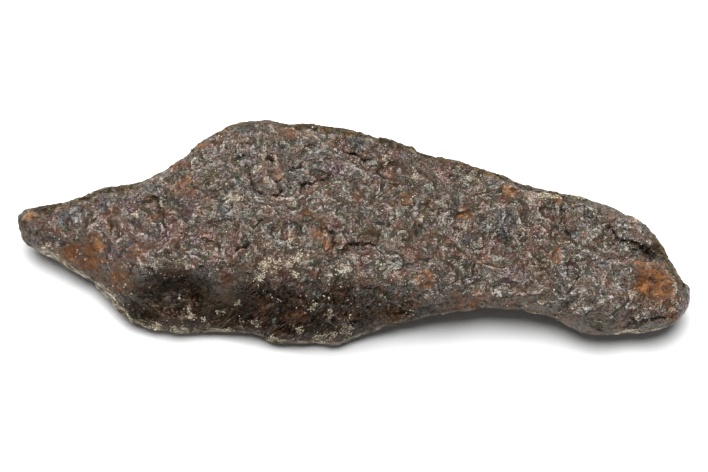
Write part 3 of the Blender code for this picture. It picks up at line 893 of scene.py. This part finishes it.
def crumb_maker(material):
    """Geometry Nodes that strew dented grains over a surface, as thickly as its mask "crumbs" says."""
    tree = bpy.data.node_groups.new("soil_crumbs", "GeometryNodeTree")
    tree.interface.new_socket(name="Surface", in_out="INPUT", socket_type="NodeSocketGeometry")
    for name in ("Crumbs per square metre", "Crumb width"):
        tree.interface.new_socket(name=name, in_out="INPUT", socket_type="NodeSocketFloat")
    tree.interface.new_socket(name="Crumbs", in_out="OUTPUT", socket_type="NodeSocketGeometry")
    link = tree.links.new
    given = add_part(tree, "NodeGroupInput")
    share = add_part(tree, "GeometryNodeInputNamedAttribute", data_type="FLOAT")
    share.inputs["Name"].default_value = "crumbs"
    density = add_part(tree, "ShaderNodeMath", operation="MULTIPLY")
    link(given.outputs["Crumbs per square metre"], density.inputs[0])
    link(share.outputs["Attribute"], density.inputs[1])
    strewn = add_part(tree, "GeometryNodeDistributePointsOnFaces", distribute_method="RANDOM")
    strewn.inputs["Seed"].default_value = CRUMB_SEED
    link(given.outputs["Surface"], strewn.inputs["Mesh"])
    link(density.outputs[0], strewn.inputs["Density"])

    ball = add_part(tree, "GeometryNodeMeshIcoSphere")
    ball.inputs["Radius"].default_value = 0.5
    ball.inputs["Subdivisions"].default_value = 1
    dents = add_part(tree, "ShaderNodeTexNoise", noise_dimensions="3D")
    dents.inputs["Scale"].default_value = 1.7
    centred = add_part(tree, "ShaderNodeVectorMath", operation="SUBTRACT")
    centred.inputs[1].default_value = (0.5,) * 3
    link(dents.outputs["Color"], centred.inputs[0])
    grain = add_part(tree, "GeometryNodeSetPosition")
    link(ball.outputs["Mesh"], grain.inputs["Geometry"])
    link(centred.outputs[0], grain.inputs["Offset"])

    turn = add_part(tree, "FunctionNodeRandomValue", data_type="FLOAT_VECTOR")
    turn.inputs["Max"].default_value = (6.28,) * 3
    turn.inputs["Seed"].default_value = CRUMB_SEED + 1
    stretch = add_part(tree, "FunctionNodeRandomValue", data_type="FLOAT_VECTOR")
    stretch.inputs["Min"].default_value = LEAST_STRETCH
    stretch.inputs["Max"].default_value = MOST_STRETCH
    stretch.inputs["Seed"].default_value = CRUMB_SEED + 2
    size = add_part(tree, "ShaderNodeVectorMath", operation="SCALE")
    link(stretch.outputs["Value"], size.inputs[0])
    link(given.outputs["Crumb width"], size.inputs["Scale"])
    placed = add_part(tree, "GeometryNodeInstanceOnPoints")
    link(strewn.outputs["Points"], placed.inputs["Points"])
    link(grain.outputs["Geometry"], placed.inputs["Instance"])
    link(turn.outputs["Value"], placed.inputs["Rotation"])
    link(size.outputs[0], placed.inputs["Scale"])
    real = add_part(tree, "GeometryNodeRealizeInstances")
    link(placed.outputs["Instances"], real.inputs["Geometry"])
    coated = add_part(tree, "GeometryNodeSetMaterial")
    coated.inputs["Material"].default_value = material
    link(real.outputs["Geometry"], coated.inputs["Geometry"])
    link(coated.outputs["Geometry"], add_part(tree, "NodeGroupOutput").inputs["Crumbs"])
    return tree


def set_input(modifier, name, value):
    sockets = modifier.node_group.interface.items_tree
    identifiers = {item.name: item.identifier for item in sockets if item.in_out == "INPUT"}
    modifier[identifiers[name]] = value


clumps = smooth_step(cloud(points, CLUMP_SIZE, 2, 71.0) * 2.6 + 0.62)
stray = smooth_step(cloud(points, STRAY_PATCH_SIZE, 2, 17.0) * 2 + 0.4)
strewing = in_heap * clumps + CRUMBS_STRAY / CRUMBS_IN_HEAP * stray
keep_mask(stone_mesh, "crumbs", strewing * (points[:, 2] > LOWEST_CRUMB))
crumb_seat = bpy.data.objects.new("crumb_seat", stone_mesh)
bpy.context.scene.collection.objects.link(crumb_seat)
maker = crumb_seat.modifiers.new("crumbs", "NODES")
maker.node_group = crumb_maker(crumb_material())
set_input(maker, "Crumbs per square metre", CRUMBS_IN_HEAP / MM**2)
set_input(maker, "Crumb width", CRUMB_WIDTH * MM)
strewn_seat = crumb_seat.evaluated_get(bpy.context.evaluated_depsgraph_get())
crumb_mesh = bpy.data.meshes.new_from_object(strewn_seat)
bpy.data.objects.remove(crumb_seat)
grains_at = np.clip(read_skin(crumb_mesh)[0], low, high)
crumb_mesh.vertices.foreach_set("co", (grains_at * MM).astype(np.float32).ravel())
crumb_mesh.update()
crumbs = bpy.data.objects.new("soil_crumbs", crumb_mesh)
bpy.context.scene.collection.objects.link(crumbs)
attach(crumbs, "root")


# The studio
# A white table that reaches out of view, a broad soft light above and behind the stone, and the
# photographer's long lens looking down from the front.

# Lengths here are in metres, apart from the place that the camera aims at.
FLOOR_HALF = 2.0
FLOOR_WHITE = 0.93
LIGHT_PLACE = Vector((-0.04, 0.20, 0.77))
LIGHT_WIDTH = 0.95
LIGHT_WATTS = 14.8
ROOM_LIGHT = 0.12
CAMERA_ELEVATION = math.radians(62)
CAMERA_DISTANCE = 0.295
CAMERA_AIM = Vector((0.2, -0.36, 4.0)) * MM

floor_mesh = bpy.data.meshes.new("table")
corners = [(x * FLOOR_HALF, y * FLOOR_HALF, 0) for x, y in ((-1, -1), (1, -1), (1, 1), (-1, 1))]
floor_mesh.from_pydata(corners, [], [(0, 1, 2, 3)])
floor = bpy.data.objects.new("table", floor_mesh)
bpy.context.scene.collection.objects.link(floor)
white = bpy.data.materials.new("white_table")
white.use_nodes = True
paint = white.node_tree.nodes["Principled BSDF"].inputs
paint["Base Color"].default_value = colour(FLOOR_WHITE, FLOOR_WHITE, FLOOR_WHITE)
paint["Roughness"].default_value = 0.9
paint["Specular IOR Level"].default_value = 0.0
floor_mesh.materials.append(white)

light = bpy.data.lights.new("overhead", "AREA")
light.shape = "DISK"
light.size = LIGHT_WIDTH
light.energy = LIGHT_WATTS
lamp = bpy.data.objects.new("overhead", light)
lamp.location = LIGHT_PLACE
lamp.rotation_euler = (-LIGHT_PLACE).to_track_quat("-Z", "Y").to_euler()
bpy.context.scene.collection.objects.link(lamp)

world = bpy.data.worlds.new("studio")
world.use_nodes = True
room = world.node_tree.nodes["Background"].inputs
room["Color"].default_value = colour(1, 1, 1)
room["Strength"].default_value = ROOM_LIGHT
bpy.context.scene.world = world

toward_camera = Vector((0, -math.cos(CAMERA_ELEVATION), math.sin(CAMERA_ELEVATION)))
lens = bpy.data.cameras.new("camera")
lens.lens = 150
lens.sensor_width = 36
lens.clip_start = 0.01
camera = bpy.data.objects.new("camera", lens)
camera.location = CAMERA_AIM + toward_camera * CAMERA_DISTANCE
camera.rotation_euler = (-toward_camera).to_track_quat("-Z", "Y").to_euler()
bpy.context.scene.collection.objects.link(camera)
bpy.context.scene.camera = camera
bpy.context.scene.view_settings.view_transform = "Standard"
